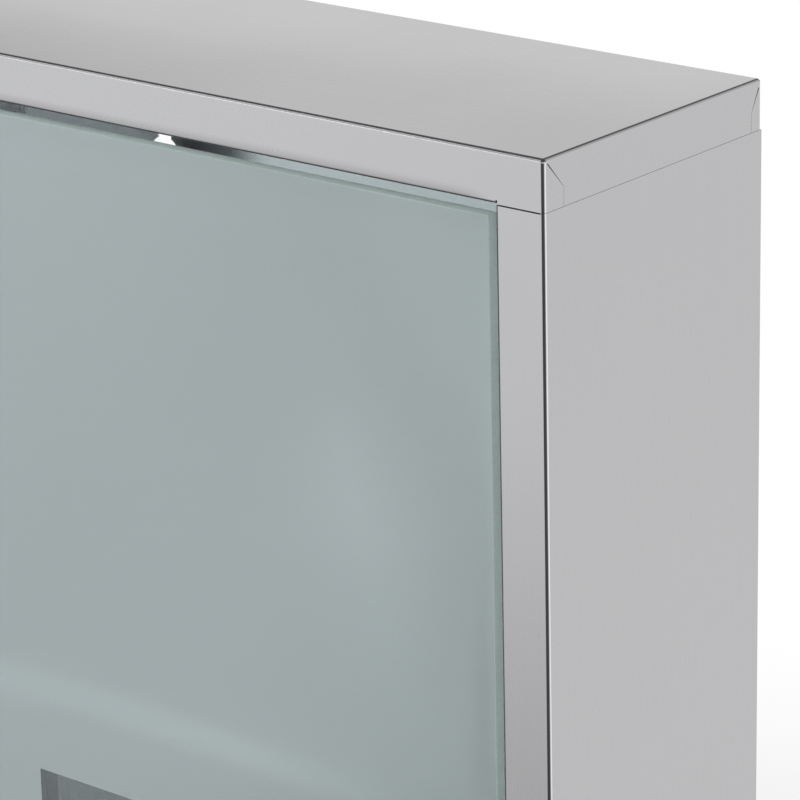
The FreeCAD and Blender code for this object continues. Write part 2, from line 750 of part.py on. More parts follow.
def lock():
    """Cam lock clamped through the glass: barrel, washers and nut stay, the plug and cam turn."""
    housing = new_body("lock_housing")
    bore = "plug_radius + running_clear"
    revolve(housing, "Y_Axis", "XY_Plane", [
        (bore, "flange_front"),
        ("barrel_flange_radius", "flange_front"),
        ("barrel_flange_radius", "flange_back"),
        ("barrel_radius", "flange_back"),
        ("barrel_radius", "barrel_end"),
        (bore, "barrel_end"),
    ])
    box = housing.Shape.BoundBox

    def is_flange_rim(edge):
        return near(edge.CenterOfMass.y, box.YMin) and near(edge.BoundBox.XMax, box.XMax)

    dress(housing, "Fillet", "Radius", "barrel_round", is_flange_rim)
    node(place(housing, "lock_x", "0", "door_middle"), "lock_housing")

    washers = []
    for name, span in (("front", ("flange_back", "front")), ("rear", ("film_back", "film_back + washer_thick"))):
        disc = rod(name + "_washer_disc", "barrel_flange_radius", "lock_x", span, "door_middle")
        hole_y = (span[0] + " - overrun", span[1] + " + overrun")
        hole = rod(name + "_washer_hole", "barrel_radius + fit_clear", "lock_x", hole_y, "door_middle")
        washers.append(cut(name + "_washer", disc, hole))
    group("lock_washers", *washers)

    nut_y = ("film_back + washer_thick", "film_back + washer_thick + nut_thick")
    flats = hexagon("nut_flats", "nut_across", "lock_x", nut_y, "door_middle")
    nut_hole_y = (nut_y[0] + " - overrun", nut_y[1] + " + overrun")
    thread = rod("nut_thread", "barrel_radius + fit_clear", "lock_x", nut_hole_y, "door_middle")
    node(cut("lock_nut", flats, thread), "lock_nut")

    plug = new_body("lock_cylinder")
    revolve(plug, "Y_Axis", "XY_Plane", [
        ("0", "head_front"),
        ("plug_head_radius", "head_front"),
        ("plug_head_radius", "head_back"),
        ("plug_radius", "head_back"),
        ("plug_radius", "barrel_end"),
        ("0", "barrel_end"),
    ])
    square = rectangle(around("0", "drive_square"), around("0", "drive_square"))
    pad(plug, outline(plug, "XZ_Plane", square, "-drive_end"), "drive_end - barrel_end")
    keyway = rectangle(around("0", "keyway_width"), around("0", "keyway_height"))
    pocket(plug, outline(plug, "XZ_Plane", keyway, "-head_front"), "keyway_depth")
    tapped = circles(plug, "XZ_Plane", [("0", "0")], "cam_screw_radius + fit_clear", "-drive_end")
    pocket(plug, tapped, "cam_screw_length", backwards=True)
    node(place(plug, "lock_x", "0", "door_middle"), "lock_cylinder")

    cam = new_body("lock_cam")
    arm = rectangle(around("0", "cam_width"), ("-cam_reach", "cam_width / 2"))
    pad(cam, outline(cam, "XZ_Plane", arm, "-cam_back"), "cam_thick")
    dress(cam, "Fillet", "Radius", "cam_round", lambda edge: runs_along(edge, Y_AXIS))
    hole = around("0", "drive_square + 2 * fit_clear")
    pocket(cam, outline(cam, "XZ_Plane", rectangle(hole, hole)))
    node(place(cam, "lock_x", "0", "door_middle"), "lock_cam")

    head_end = "cam_back + cam_screw_head"
    head = rod("cam_screw_pan", "cam_screw_head_radius", "lock_x", ("cam_back", head_end), "door_middle")
    shank_y = ("drive_end - cam_screw_length + end_clear", "cam_back")
    shank = rod("cam_screw_shank", "cam_screw_radius", "lock_x", shank_y, "door_middle")
    slot = block("cam_screw_slot", around("lock_x", "screw_slot"),
                 (head_end + " - screw_slot_depth", head_end + " + overrun"),
                 around("door_middle", "2 * (cam_screw_head_radius + overrun)"))
    node(cut("cam_screw", fuse("cam_screw_blank", head, shank), slot), "cam_screw")


def door_key():
    """Flat key: round bow with a ring hole, and a blade that stands in the keyway."""
    key = new_body("door_key")
    pad(key, circles(key, "YZ_Plane", [("bow_middle", "0")], "key_bow_radius"), "key_thick", "Symmetric")
    blade_y = ("bow_middle + key_bow_radius / 2", "head_front + keyway_depth - key_tip_room")
    blade = rectangle(blade_y, ("-(blade_half)", "blade_half"))
    pad(key, outline(key, "YZ_Plane", blade), "blade_thick", "Symmetric")
    ring_at = [("bow_middle - key_bow_radius / 2", "0")]
    pocket(key, circles(key, "YZ_Plane", ring_at, "key_bow_hole"))
    return node(place(key, "lock_x", "0", "door_middle"), "door_key")


# Magnetic catch

def magnetic_catch():
    """Catch on the lower shelf's lip, and its strike plate on the glass."""
    tall = around("catch_z", "catch_height")
    base = block("catch_base_plate", around("catch_x", "catch_base"), ("base_front", "lip_front"), tall)
    main = block("catch_main_block", around("catch_x", "catch_main"), ("catch_front", "lip_front"), tall)
    nest = block("catch_nest", around("catch_x", "pole_width + 2 * fit_clear"),
                 ("catch_front - overrun", "magnet_back"),
                 around("catch_z", "2 * (pole_outside + fit_clear)"))
    holes = []
    screws = []
    for number, x in enumerate(around("catch_x", "catch_screw_pitch")):
        name = "catch_screw_%d" % number
        hole_y = ("base_front - overrun", "lip_front + overrun")
        holes.append(rod(name + "_hole", "catch_screw_radius + fit_clear", x, hole_y, "catch_z"))
        head_y = ("base_front - catch_screw_head", "base_front")
        head = rod(name + "_head", "catch_screw_head_radius", x, head_y, "catch_z")
        shank_y = ("base_front", "lip_front + sheet_thick + catch_screw_tail")
        shank = rod(name + "_shank", "catch_screw_radius", x, shank_y, "catch_z")
        slot = block(name + "_slot", around(x, "screw_slot"),
                     (head_y[0] + " - overrun", head_y[0] + " + screw_slot_depth"),
                     around("catch_z", "2 * (catch_screw_head_radius + overrun)"))
        screws.append(cut(name, fuse(name + "_blank", head, shank), slot))
    solid = fuse("catch_blank", base, main)
    hollow = fuse("catch_hollow", nest, *holes)
    node(cut("catch_body", solid, hollow), "catch_body")
    group("catch_screws", *screws)

    magnet_z = around("catch_z", "magnet_height")
    node(block("catch_magnet", around("catch_x", "magnet_width"), ("catch_front", "magnet_back"), magnet_z),
         "catch_magnet")
    pole_x = around("catch_x", "pole_width")
    pole_y = ("pole_front", "magnet_back")
    group("catch_pole_plates",
          block("lower_pole", pole_x, pole_y, ("catch_z - pole_outside", magnet_z[0])),
          block("upper_pole", pole_x, pole_y, (magnet_z[1], "catch_z + pole_outside")))

    strike = new_body("strike_plate")
    plate = rectangle(around("catch_x", "strike_width"), around("catch_z", "strike_height"))
    pad(strike, outline(strike, "XZ_Plane", plate, "-strike_back"), "strike_thick")
    dress(strike, "Fillet", "Radius", "strike_round", lambda edge: runs_along(edge, Y_AXIS))
    node(strike, "strike_plate")


def export():
    """Check every object and sub-part, then write each sub-part to its own file."""
    doc.recompute()
    for item in doc.Objects:
        if "Invalid" in item.State or "Error" in item.State:
            raise RuntimeError("%s failed: %s" % (item.Label, item.State))
    for item in nodes:
        if item.Shape.isNull() or not item.Shape.isValid() or not item.Shape.Solids:
            raise RuntimeError(item.Label + " has no valid solid")
    os.makedirs("parts", exist_ok=True)
    for item in nodes:
        item.Shape.exportStep("parts/%s.step" % item.Label)
        print("%-22s %d solid(s) %12.2f mm3" % (item.Label, len(item.Shape.Solids), item.Shape.Volume))


make_sheet()
rim_cap("top_lid", "top", "upper_seam", -1)
rim_cap("bottom_tray", "bottom", "lower_seam", 1)
folded_side("left_side", -1)
folded_side("right_side", 1)
back_panel()
shelf("upper_shelf", "upper_shelf_top")
shelf("lower_shelf", "lower_shelf_top", screw_holes=True)
shelf_rails("upper_shelf_rails", "upper_shelf_top")
shelf_rails("lower_shelf_rails", "lower_shelf_top")
door_glass()
frosted_film()
cross_film()
hinge("upper", "door_top", "upper_seam", 1)
hinge("lower", "door_low", "lower_seam", -1)
lock()
door_key()
magnetic_catch()
export()
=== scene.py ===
import math

import bpy
from bpy.props import FloatProperty, FloatVectorProperty, PointerProperty
from bpy.types import Operator, Panel, PropertyGroup
from mathutils import Euler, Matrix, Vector


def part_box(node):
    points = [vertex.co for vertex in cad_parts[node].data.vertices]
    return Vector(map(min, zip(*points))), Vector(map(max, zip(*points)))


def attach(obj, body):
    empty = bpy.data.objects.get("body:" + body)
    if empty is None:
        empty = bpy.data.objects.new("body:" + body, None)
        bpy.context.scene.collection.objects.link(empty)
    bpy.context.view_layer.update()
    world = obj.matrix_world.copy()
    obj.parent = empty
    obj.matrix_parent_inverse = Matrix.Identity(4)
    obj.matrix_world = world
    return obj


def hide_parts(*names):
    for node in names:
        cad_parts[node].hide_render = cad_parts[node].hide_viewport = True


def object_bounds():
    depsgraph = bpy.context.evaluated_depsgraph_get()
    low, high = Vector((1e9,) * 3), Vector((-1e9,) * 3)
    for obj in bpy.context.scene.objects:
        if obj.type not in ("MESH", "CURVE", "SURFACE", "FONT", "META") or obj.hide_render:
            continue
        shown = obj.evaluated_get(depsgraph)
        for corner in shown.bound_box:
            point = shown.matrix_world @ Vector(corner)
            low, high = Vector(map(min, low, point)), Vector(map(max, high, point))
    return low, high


bl_info = {
    "name": "Steel medicine cabinet",
    "version": (1, 0, 0),
    "blender": (4, 5, 0),
    "location": "View3D > Sidebar > Cabinet",
    "description": "Finishes a wall-hung steel medicine cabinet with a frosted glass door",
    "category": "Object",
}

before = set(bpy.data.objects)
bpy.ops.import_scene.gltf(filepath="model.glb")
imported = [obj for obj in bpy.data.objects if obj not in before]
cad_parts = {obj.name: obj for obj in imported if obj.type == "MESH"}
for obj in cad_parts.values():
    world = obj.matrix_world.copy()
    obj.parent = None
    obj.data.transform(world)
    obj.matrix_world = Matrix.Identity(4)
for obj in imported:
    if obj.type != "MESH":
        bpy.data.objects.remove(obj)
CAD_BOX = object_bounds()

GLASS_LOW, GLASS_HIGH = (Vector(corner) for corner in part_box("door_glass"))
BARREL_LOW, BARREL_HIGH = (Vector(corner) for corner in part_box("lock_housing"))
KEY_LOW, KEY_HIGH = (Vector(corner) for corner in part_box("door_key"))
CABINET_LOW, CABINET_HIGH = (Vector(corner) for corner in CAD_BOX)
LID_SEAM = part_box("top_lid")[0][2]
TRAY_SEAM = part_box("bottom_tray")[1][2]

ACROSS_NODES = ("bottom_tray", "upper_shelf_rails", "lower_shelf_rails")
SHELF_NODES = ("upper_shelf", "lower_shelf")
UPRIGHT_NODES = ("left_side", "right_side")
CHROME_NODES = ("upper_hinge_clamp", "lower_hinge_clamp", "lock_housing", "lock_cylinder")
ZINC_NODES = (
    "upper_clamp_screws", "lower_clamp_screws", "upper_pivot_pin", "lower_pivot_pin",
    "upper_pivot_plate", "lower_pivot_plate", "lock_nut", "lock_cam", "cam_screw",
    "catch_pole_plates", "catch_screws", "strike_plate",
)
PAD_NODES = ("upper_clamp_pads", "lower_clamp_pads")
NYLON_NODES = ("upper_pivot_bush", "lower_pivot_bush", "lock_washers", "catch_body")
FERRITE_NODES = ("catch_magnet",)

# Finishes: the useful span of a noise, the grain's stretch, and the normal's Y of a front face
NOISE_SPAN = (0.3, 0.7)
GRAIN_ACROSS = (30, 3200, 3200)
GRAIN_UPRIGHT = (3200, 3200, 30)
FACES_FRONT = -0.5
# Painted shade, near black, on the tongues in the seams
SEAM_PAINTED_SHADE = (0.02, 0.02, 0.02, 1)

# Pane: its material slots and the length of its cutter
FROSTED, CLEAR, GROUND = 0, 1, 2
PANE_CUTTER = 0.03

# Key: half the blade's height, its teeth from the tip, and where the ring hole sits in the bow
KEY_CUTTER = 0.02
BLADE_HALF = 0.00395
TOOTH_DEPTHS = (0.0012, 0.0022, 0.0008, 0.0018)
TOOTH_START = 0.0012
TOOTH_PITCH = 0.0021
RING_OFFSET = 0.005
KEY_ROUNDING = 0.00025

# Stage: lamps by name, place, size and power
CABINET_CENTRE = Vector((0, -0.06, -0.26))
FLOOR_CENTRE = Vector((0, -0.06, CABINET_LOW.z))
FLOOR_DROP = 0.0005
SENSOR_WIDTH = 36.0
LAMPS = (
    ("key_light", (-0.9, -1.0, 0.9), 1.0, 17),
    ("fill_light", (1.9, 0.2, 1.1), 1.2, 6),
)


# Settings a user would change

class CabinetFinish(PropertyGroup):
    """Colours and surface values of the cabinet's finishes."""

    steel_colour: FloatVectorProperty(
        name="Steel", description="Colour of the satin polished sheet",
        subtype="COLOR", size=4, min=0, max=1, default=(0.50, 0.50, 0.51, 1))
    # Painted dark reflection and shade on the bends
    painted_bend_shade: FloatVectorProperty(
        name="Bend shade", description="Colour on the dark half of each bend",
        subtype="COLOR", size=4, min=0, max=1, default=(0.06, 0.06, 0.063, 1))
    # Painted highlight on the upright bends
    painted_bend_highlight: FloatVectorProperty(
        name="Bend light", description="Colour on the bright part of each upright bend",
        subtype="COLOR", size=4, min=0, max=1, default=(0.85, 0.85, 0.87, 1))
    steel_rough: FloatProperty(
        name="Steel roughness", description="Mean roughness of the satin sheet",
        subtype="FACTOR", min=0, max=1, default=0.27)
    frost_colour: FloatVectorProperty(
        name="Frost", description="Milky colour of the frosted glass",
        subtype="COLOR", size=4, min=0, max=1, default=(0.67, 0.75, 0.76, 1))
    # Painted shade on the frost's lock side
    frost_shade: FloatVectorProperty(
        name="Frost shade", description="Colour towards which the frost darkens on the lock side",
        subtype="COLOR", size=4, min=0, max=1, default=(0.30, 0.36, 0.36, 1))
    edge_colour: FloatVectorProperty(
        name="Glass edge", description="Green of the ground glass edge",
        subtype="COLOR", size=4, min=0, max=1, default=(0.58, 0.69, 0.65, 1))
    clear_colour: FloatVectorProperty(
        name="Clear glass", description="Tint of the clear field and the back face",
        subtype="COLOR", size=4, min=0, max=1, default=(0.86, 0.93, 0.91, 1))


class DoorPane(PropertyGroup):
    """Sizes of the glass door pane."""

    arris: FloatProperty(
        name="Arris", description="Width of the ground edge bevel",
        unit="LENGTH", subtype="DISTANCE", default=0.0005)
    hole_radius: FloatProperty(
        name="Lock hole", description="Radius of the hole for the lock",
        unit="LENGTH", subtype="DISTANCE", default=0.009)
    field_width: FloatProperty(
        name="Clear field", description="Width of the square field left clear",
        unit="LENGTH", subtype="DISTANCE", default=0.120)
    cross_span: FloatProperty(
        name="Cross span", description="Width and height of the frosted cross",
        unit="LENGTH", subtype="DISTANCE", default=0.084)
    cross_arm: FloatProperty(
        name="Cross arm", description="Width of the cross's arms",
        unit="LENGTH", subtype="DISTANCE", default=0.028)


class LockKey(PropertyGroup):
    """Sizes of the key in the lock."""

    bow_radius: FloatProperty(
        name="Bow", description="Radius of the round bow",
        unit="LENGTH", subtype="DISTANCE", default=0.0105)
    bow_hole: FloatProperty(
        name="Bow hole", description="Radius of the hole for a key ring",
        unit="LENGTH", subtype="DISTANCE", default=0.003)
    thick: FloatProperty(
        name="Bow thickness", description="Thickness of the bow",
        unit="LENGTH", subtype="DISTANCE", default=0.0022)
    blade_thick: FloatProperty(
        name="Blade thickness", description="Thickness of the blade",
        unit="LENGTH", subtype="DISTANCE", default=0.0017)


class StudioStage(PropertyGroup):
    """Camera, light levels and floor."""

    camera_place: FloatVectorProperty(
        name="Camera", description="Place of the camera",
        unit="LENGTH", subtype="TRANSLATION", size=3, default=(0.8978, -1.0708, 0.4105))
    camera_turn: FloatVectorProperty(
        name="Camera turn", description="Euler angles of the camera",
        unit="ROTATION", subtype="EULER", size=3,
        default=(math.radians(70.6851), math.radians(1.2646), math.radians(39.0168)))
    lens: FloatProperty(
        name="Lens", description="Focal length in millimetres on a 36 mm sensor",
        min=1, default=180.0)
    world_level: FloatProperty(
        name="World level", description="Light that the surroundings give to matt surfaces",
        min=0, default=0.45)
    floor_radius: FloatProperty(
        name="Floor radius", description="Radius of the pale floor",
        unit="LENGTH", subtype="DISTANCE", default=1.4)


# Node helpers

def new_material(name):
    """Empty node material; returns it with its tree, shader and output."""
    material = bpy.data.materials.new(name)
    material.use_nodes = True
    tree = material.node_tree
    tree.nodes.clear()
    output = tree.nodes.new("ShaderNodeOutputMaterial")
    shader = tree.nodes.new("ShaderNodeBsdfPrincipled")
    tree.links.new(shader.outputs["BSDF"], output.inputs["Surface"])
    return material, tree, shader, output


def object_vector(tree, scale=(1, 1, 1), centre=(0, 0, 0)):
    """Object coordinates, centred and stretched by a Mapping node."""
    coords = tree.nodes.new("ShaderNodeTexCoord")
    mapping = tree.nodes.new("ShaderNodeMapping")
    mapping.vector_type = "POINT"
    mapping.inputs["Scale"].default_value = scale
    mapping.inputs["Location"].default_value = [-c * s for c, s in zip(centre, scale)]
    tree.links.new(coords.outputs["Object"], mapping.inputs["Vector"])
    return mapping.outputs["Vector"]


def axes(tree, vector):
    """The X, Y and Z parts of a vector."""
    node = tree.nodes.new("ShaderNodeSeparateXYZ")
    tree.links.new(vector, node.inputs[0])
    return [node.outputs[axis] for axis in "XYZ"]


def noise(tree, vector, scale, detail=2.0, rough=0.5):
    """Noise value of a vector."""
    node = tree.nodes.new("ShaderNodeTexNoise")
    node.inputs["Scale"].default_value = scale
    node.inputs["Detail"].default_value = detail
    node.inputs["Roughness"].default_value = rough
    tree.links.new(vector, node.inputs["Vector"])
    return node.outputs["Fac"]


def remap(tree, value, from_range, to_range, smooth=False):
    """Map a value from one range to another, and hold it at the ends."""
    node = tree.nodes.new("ShaderNodeMapRange")
    node.interpolation_type = "SMOOTHSTEP" if smooth else "LINEAR"
    node.inputs["From Min"].default_value = from_range[0]
    node.inputs["From Max"].default_value = from_range[1]
    node.inputs["To Min"].default_value = to_range[0]
    node.inputs["To Max"].default_value = to_range[1]
    tree.links.new(value, node.inputs["Value"])
    return node.outputs["Result"]


def math_node(tree, operation, first, second=None):
    """Math node on sockets or plain numbers."""
    node = tree.nodes.new("ShaderNodeMath")
    node.operation = operation
    for socket, value in zip(node.inputs, (first, second)):
        if isinstance(value, (int, float)):
            socket.default_value = value
        elif value is not None:
            tree.links.new(value, socket)
    return node.outputs["Value"]


def product(tree, value, *factors):
    """A value times one or more factors."""
    for factor in factors:
        value = math_node(tree, "MULTIPLY", value, factor)
    return value


def scaled(colour, level):
    """A colour made darker or lighter, as four channels of at most 1."""
    return [min(1, channel * level) for channel in colour[:3]] + [1]


def mix_colour(tree, factor, first, second):
    """Mix two colours, each a socket or four plain channels."""
    node = tree.nodes.new("ShaderNodeMix")
    node.data_type = "RGBA"
    node.clamp_factor = True
    tree.links.new(factor, node.inputs[0])
    for index, value in ((6, first), (7, second)):
        if hasattr(value, "is_linked"):
            tree.links.new(value, node.inputs[index])
        else:
            node.inputs[index].default_value = value
    return node.outputs[2]


def band(tree, value, rise, fall):
    """1 between two soft steps of a value, 0 outside them."""
    return product(tree, remap(tree, value, rise, (0, 1), smooth=True),
                   remap(tree, value, fall, (1, 0), smooth=True))


def bump(tree, shader, height, strength, distance):
    """Bend a shader's normal by a height."""
    node = tree.nodes.new("ShaderNodeBump")
    node.inputs["Strength"].default_value = strength
    node.inputs["Distance"].default_value = distance
    tree.links.new(height, node.inputs["Height"])
    tree.links.new(node.outputs["Normal"], shader.inputs["Normal"])


def new_group(name, inputs, outputs):
    """Shader node group with named sockets; returns its tree, input node and output node."""
    tree = bpy.data.node_groups.new(name, "ShaderNodeTree")
    for label, kind in inputs:
        tree.interface.new_socket(name=label, in_out="INPUT", socket_type=kind)
    for label, kind in outputs:
        tree.interface.new_socket(name=label, in_out="OUTPUT", socket_type=kind)
    return tree, tree.nodes.new("NodeGroupInput"), tree.nodes.new("NodeGroupOutput")


def use_group(tree, name, **links):
    """Place a node group and link its inputs by name."""
    node = tree.nodes.new("ShaderNodeGroup")
    node.node_tree = bpy.data.node_groups[name]
    for label, socket in links.items():
        tree.links.new(socket, node.inputs[label])
    return node


# Shared effects

def satin_grain_group():
    """Fine lines of a brushed sheet with slow cloudy variation."""
    tree, given, result = new_group(
        "satin_grain",
        [("Lines", "NodeSocketVector"), ("Cloud", "NodeSocketVector")],
        [("Grain", "NodeSocketFloat"), ("Cloudy", "NodeSocketFloat")])
    fine = noise(tree, given.outputs["Lines"], 1.0, detail=3, rough=0.6)
    wide = noise(tree, given.outputs["Lines"], 0.21, detail=2)
    both = math_node(tree, "ADD", product(tree, fine, 0.65), product(tree, wide, 0.35))
    tree.links.new(both, result.inputs["Grain"])
    cloud = noise(tree, given.outputs["Cloud"], 9.0, detail=3)
    tree.links.new(cloud, result.inputs["Cloudy"])


def painted_bend_shading_group():
    """Masks for a bend's painted dark reflection and painted highlight, from how far the normal leans.
    """
    tree, given, result = new_group(
        "painted_bend_shading", [("Normal", "NodeSocketVector")],
        [("Dark", "NodeSocketFloat"), ("Light", "NodeSocketFloat")])
    lean = axes(tree, given.outputs["Normal"])
    side, front, up = (math_node(tree, "ABSOLUTE", part) for part in lean)
    bend_end = (0.97, 0.995)
    level = remap(tree, up, (0.05, 0.2), (1, 0))
    forward = remap(tree, front, (0.05, 0.15), (0, 1))
    sideward = math_node(tree, "SUBTRACT", 1.0, forward)
    # Painted dark reflection along the top bends, on the front and the sides
    front_part = product(tree, forward, band(tree, up, (0.50, 0.70), bend_end))
    side_part = product(tree, sideward, band(tree, up, (0.74, 0.86), bend_end))
    top_part = product(tree, math_node(tree, "MAXIMUM", front_part, side_part), 0.9)
    # Painted dark reflection in the upright corner bends
    post_part = product(tree, level, band(tree, front, (0.58, 0.66), bend_end))
    # Painted shade on the front top bend, where the key lamp's glint falls
    under_part = product(tree, forward, band(tree, up, (0.26, 0.42), (0.60, 0.80)))
    dark = math_node(tree, "MAXIMUM", math_node(tree, "MAXIMUM", top_part, under_part), post_part)
    tree.links.new(dark, result.inputs["Dark"])
    # Painted highlight beside the dark line of the upright corner bends
    post_light = product(tree, level, band(tree, side, (0.85, 0.89), (0.96, 0.99)))
    tree.links.new(post_light, result.inputs["Light"])


def seam_shade_group():
    """Mask of painted shade on the sides' tongues in the seams under the lid and over the tray."""
    tree, given, result = new_group(
        "seam_shade", [("Vector", "NodeSocketVector"), ("Normal", "NodeSocketVector")],
        [("Inside", "NodeSocketFloat")])
    tongue_depth = (0.0005, 0.0006)
    seam_reach = (0.0012, 0.0016)
    x, y, z = axes(tree, given.outputs["Vector"])
    normal_x, normal_y, _ = axes(tree, given.outputs["Normal"])
    sideways = product(tree, normal_x, math_node(tree, "SIGN", x))
    forward = product(tree, normal_y, -1)
    outward = math_node(tree, "GREATER_THAN", math_node(tree, "MAXIMUM", sideways, forward), 0.3)
    from_side = math_node(tree, "SUBTRACT", CABINET_HIGH.x, math_node(tree, "ABSOLUTE", x))
    from_front = math_node(tree, "SUBTRACT", y, GLASS_LOW.y)
    deep = remap(tree, math_node(tree, "MINIMUM", from_side, from_front), tongue_depth, (0, 1))
    middle = (LID_SEAM + TRAY_SEAM) / 2
    reach = (LID_SEAM - TRAY_SEAM) / 2
    from_middle = math_node(tree, "ABSOLUTE", math_node(tree, "SUBTRACT", z, middle))
    from_seam = math_node(tree, "ABSOLUTE", math_node(tree, "SUBTRACT", from_middle, reach))
    near = remap(tree, from_seam, seam_reach, (1, 0))
    tree.links.new(product(tree, outward, deep, near), result.inputs["Inside"])


def speckle_group():
    """Soft speckle for plated, moulded and frosted surfaces."""
    tree, given, result = new_group(
        "speckle", [("Vector", "NodeSocketVector")],
        [("Fine", "NodeSocketFloat"), ("Patchy", "NodeSocketFloat")])
    fine = noise(tree, given.outputs["Vector"], 1.0, detail=2, rough=0.55)
    tree.links.new(fine, result.inputs["Fine"])
    patchy = noise(tree, given.outputs["Vector"], 0.06, detail=3)
    tree.links.new(patchy, result.inputs["Patchy"])


def speckled(tree, scale):
    """The speckle group on Object coordinates; returns its fine and patchy masks."""
    group = use_group(tree, "speckle", Vector=object_vector(tree, (scale,) * 3))
    return group.outputs["Fine"], group.outputs["Patchy"]


def varied(tree, mask, colour, low, high):
    """A colour that goes from darker to lighter with a noise mask."""
    share = remap(tree, mask, NOISE_SPAN, (0, 1))
    return mix_colour(tree, share, scaled(colour, low), scaled(colour, high))


# Finishes

def satin_steel(name, stretch, tone=1.0, seams=False, front_polish_and_painted_light=False, paint_lid_shading=False):
    """Satin polished sheet whose grain runs along the least stretched axis, with a painted dark
    reflection and a painted highlight on its bends.

    seams paints shade on the tongues in the seams. The front option polishes the faces that look
    forward and paints them lighter, as painted light. The lid option adds painted light at the lid's
    rear and painted shade at its left front and along the flange's lower edge.
    """
    finish = bpy.context.scene.cabinet_finish
    material, tree, shader, _ = new_material(name)
    place = object_vector(tree)
    grain = use_group(tree, "satin_grain", Lines=object_vector(tree, stretch), Cloud=place)
    normal = tree.nodes.new("ShaderNodeNewGeometry").outputs["Normal"]

    def grained(level):
        low, high = level * 0.988, level * 1.012
        return varied(tree, grain.outputs["Grain"], finish.steel_colour, low, high)

    flat = grained(tone)
    # Painted light and shade on the lid
    if paint_lid_shading:
        for mask, level in painted_lid_shade_masks(tree, place, normal):
            flat = mix_colour(tree, mask, flat, grained(level))
    bend = use_group(tree, "painted_bend_shading", Normal=normal)
    # Painted dark reflection on the bends
    shaded = mix_colour(tree, bend.outputs["Dark"], flat, finish.painted_bend_shade)
    # Painted highlight on the upright corner bends
    sheet = mix_colour(tree, bend.outputs["Light"], shaded, finish.painted_bend_highlight)
    rough = math_node(tree, "ADD",
                      remap(tree, grain.outputs["Grain"], NOISE_SPAN, (0.92, 1.08)),
                      remap(tree, grain.outputs["Cloudy"], NOISE_SPAN, (-0.08, 0.08)))
    rough = product(tree, rough, finish.steel_rough)
    # Painted shade on the tongues in the seams
    if seams:
        seam = use_group(tree, "seam_shade", Vector=place, Normal=normal)
        sheet = mix_colour(tree, seam.outputs["Inside"], sheet, SEAM_PAINTED_SHADE)
    # Faces that look forward: polished to a lower roughness, and painted lighter as painted light
    if front_polish_and_painted_light:
        _, normal_y, _ = axes(tree, normal)
        front = math_node(tree, "LESS_THAN", normal_y, FACES_FRONT)
        sheet = mix_colour(tree, front, sheet, grained(1.45))
        rough = product(tree, rough, remap(tree, front, (0, 1), (1.0, 0.45)))
    tree.links.new(sheet, shader.inputs["Base Color"])
    tree.links.new(rough, shader.inputs["Roughness"])
    shader.inputs["Metallic"].default_value = 1.0
    height = math_node(tree, "ADD", product(tree, grain.outputs["Grain"], 0.008),
                       grain.outputs["Cloudy"])
    bump(tree, shader, height, 0.10, 0.0004)
    return material


def painted_lid_shade_masks(tree, place, normal):
    """Masks and levels of the lid's painted light and shade.

    It gets painted light at the rear, and painted shade at the left front and along the flange's lower
    edge.
    """
    x, y, z = axes(tree, place)
    _, normal_y, normal_z = axes(tree, normal)
    flange = math_node(tree, "LESS_THAN", normal_y, FACES_FRONT)
    top = remap(tree, normal_z, (0.5, 0.9), (0, 1))
    rear = remap(tree, y, (-0.085, -0.005), (0, 1), smooth=True)
    front = remap(tree, y, (-0.12, -0.06), (1, 0))
    left = remap(tree, x, (-0.06, 0.10), (1, 0), smooth=True)
    low = remap(tree, z, (LID_SEAM, LID_SEAM + 0.0045), (1, 0), smooth=True)
    over_door = remap(tree, math_node(tree, "ABSOLUTE", x),
                      (GLASS_HIGH.x - 0.012, GLASS_HIGH.x + 0.003), (1, 0), smooth=True)
    return (
        (product(tree, rear, top), 1.13),
        (product(tree, front, left, top), 0.76),
        (product(tree, low, flange, over_door), 0.72),
    )


def let_shadows_through(tree, surface, output, share):
    """Glass that lets part of the light pass in shadow rays, so that the inside is lit."""
    path = tree.nodes.new("ShaderNodeLightPath")
    clear = tree.nodes.new("ShaderNodeBsdfTransparent")
    mix = tree.nodes.new("ShaderNodeMixShader")
    tree.links.new(product(tree, path.outputs["Is Shadow Ray"], share), mix.inputs["Fac"])
    tree.links.new(surface, mix.inputs[1])
    tree.links.new(clear.outputs["BSDF"], mix.inputs[2])
    tree.links.new(mix.outputs["Shader"], output.inputs["Surface"])


